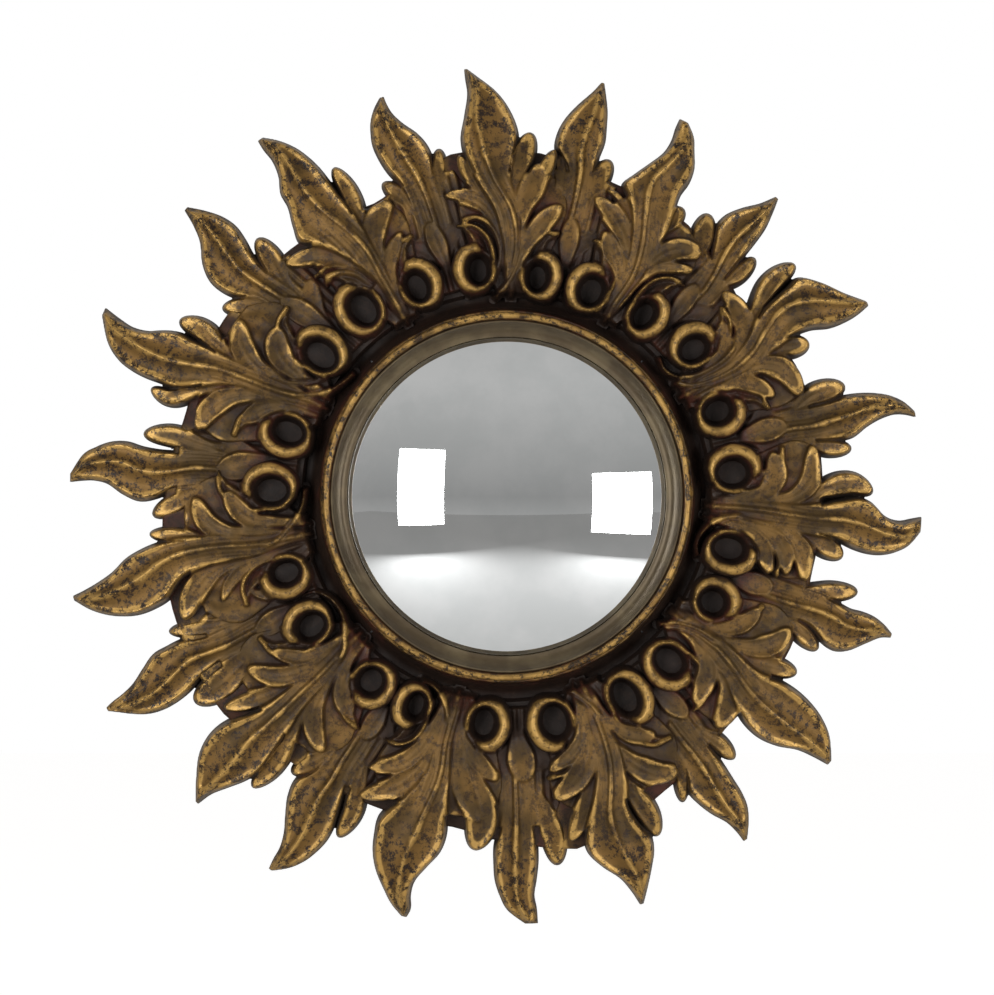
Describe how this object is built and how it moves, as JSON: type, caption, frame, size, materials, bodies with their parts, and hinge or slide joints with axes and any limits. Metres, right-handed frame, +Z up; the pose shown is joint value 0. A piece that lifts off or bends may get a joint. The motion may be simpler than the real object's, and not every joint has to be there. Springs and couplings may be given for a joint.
{
  "type": "convex butlers mirror",
  "caption": "Round wall mirror: a domed glass in a bronze slip and gold bead, ringed by a gilt cast sunburst of acanthus leaves with scrolled bases.",
  "frame": {"origin": "seat at the top of the keyhole slot, in the plane of the frame's flat back", "axes": "+Z up, +X to the viewer's right, the glass looks along -Y"},
  "size_m": [0.5455, 0.0431, 0.5475],
  "materials": {
    "gilt_resin": "cast resin, gilded and patinated, satin highlights over a dark red-brown ground",
    "bronze_slip": "satin bronze paint",
    "silvered_glass": "polished, silvered on the back",
    "foam": "closed-cell foam",
    "hardboard": "pressed fibre board",
    "zinc_steel": "zinc plated",
    "felt": "pressed felt"
  },
  "bodies": {
    "frame_body": {"leaf_frame": "gilt_resin", "sight_ring": "bronze_slip", "convex_glass": "silvered_glass", "cushion_ring": "foam", "backing_board": "hardboard", "keyhole_plate": "zinc_steel", "plate_screw_left": "zinc_steel", "bumper_left": "felt", "plate_screw_right": "zinc_steel", "bumper_right": "felt", "button_screw_1": "zinc_steel", "button_screw_2": "zinc_steel", "button_screw_3": "zinc_steel", "button_screw_4": "zinc_steel"},
    "button_1": {"turn_button_1": "zinc_steel"},
    "button_2": {"turn_button_2": "zinc_steel"},
    "button_3": {"turn_button_3": "zinc_steel"},
    "button_4": {"turn_button_4": "zinc_steel"}
  },
  "joints": [
    {"name": "button_1_turn", "type": "hinge", "parent": "frame_body", "child": "button_1", "pos_m": [0.08577, -0.0049, -0.08023], "axis": [0, 1, 0], "range_deg": [-90, 90]},
    {"name": "button_2_turn", "type": "hinge", "parent": "frame_body", "child": "button_2", "pos_m": [0.08577, -0.0049, -0.25177], "axis": [0, 1, 0], "range_deg": [-90, 90]},
    {"name": "button_3_turn", "type": "hinge", "parent": "frame_body", "child": "button_3", "pos_m": [-0.08577, -0.0049, -0.25177], "axis": [0, 1, 0], "range_deg": [-90, 90]},
    {"name": "button_4_turn", "type": "hinge", "parent": "frame_body", "child": "button_4", "pos_m": [-0.08577, -0.0049, -0.08023], "axis": [0, 1, 0], "range_deg": [-90, 90]}
  ]
}
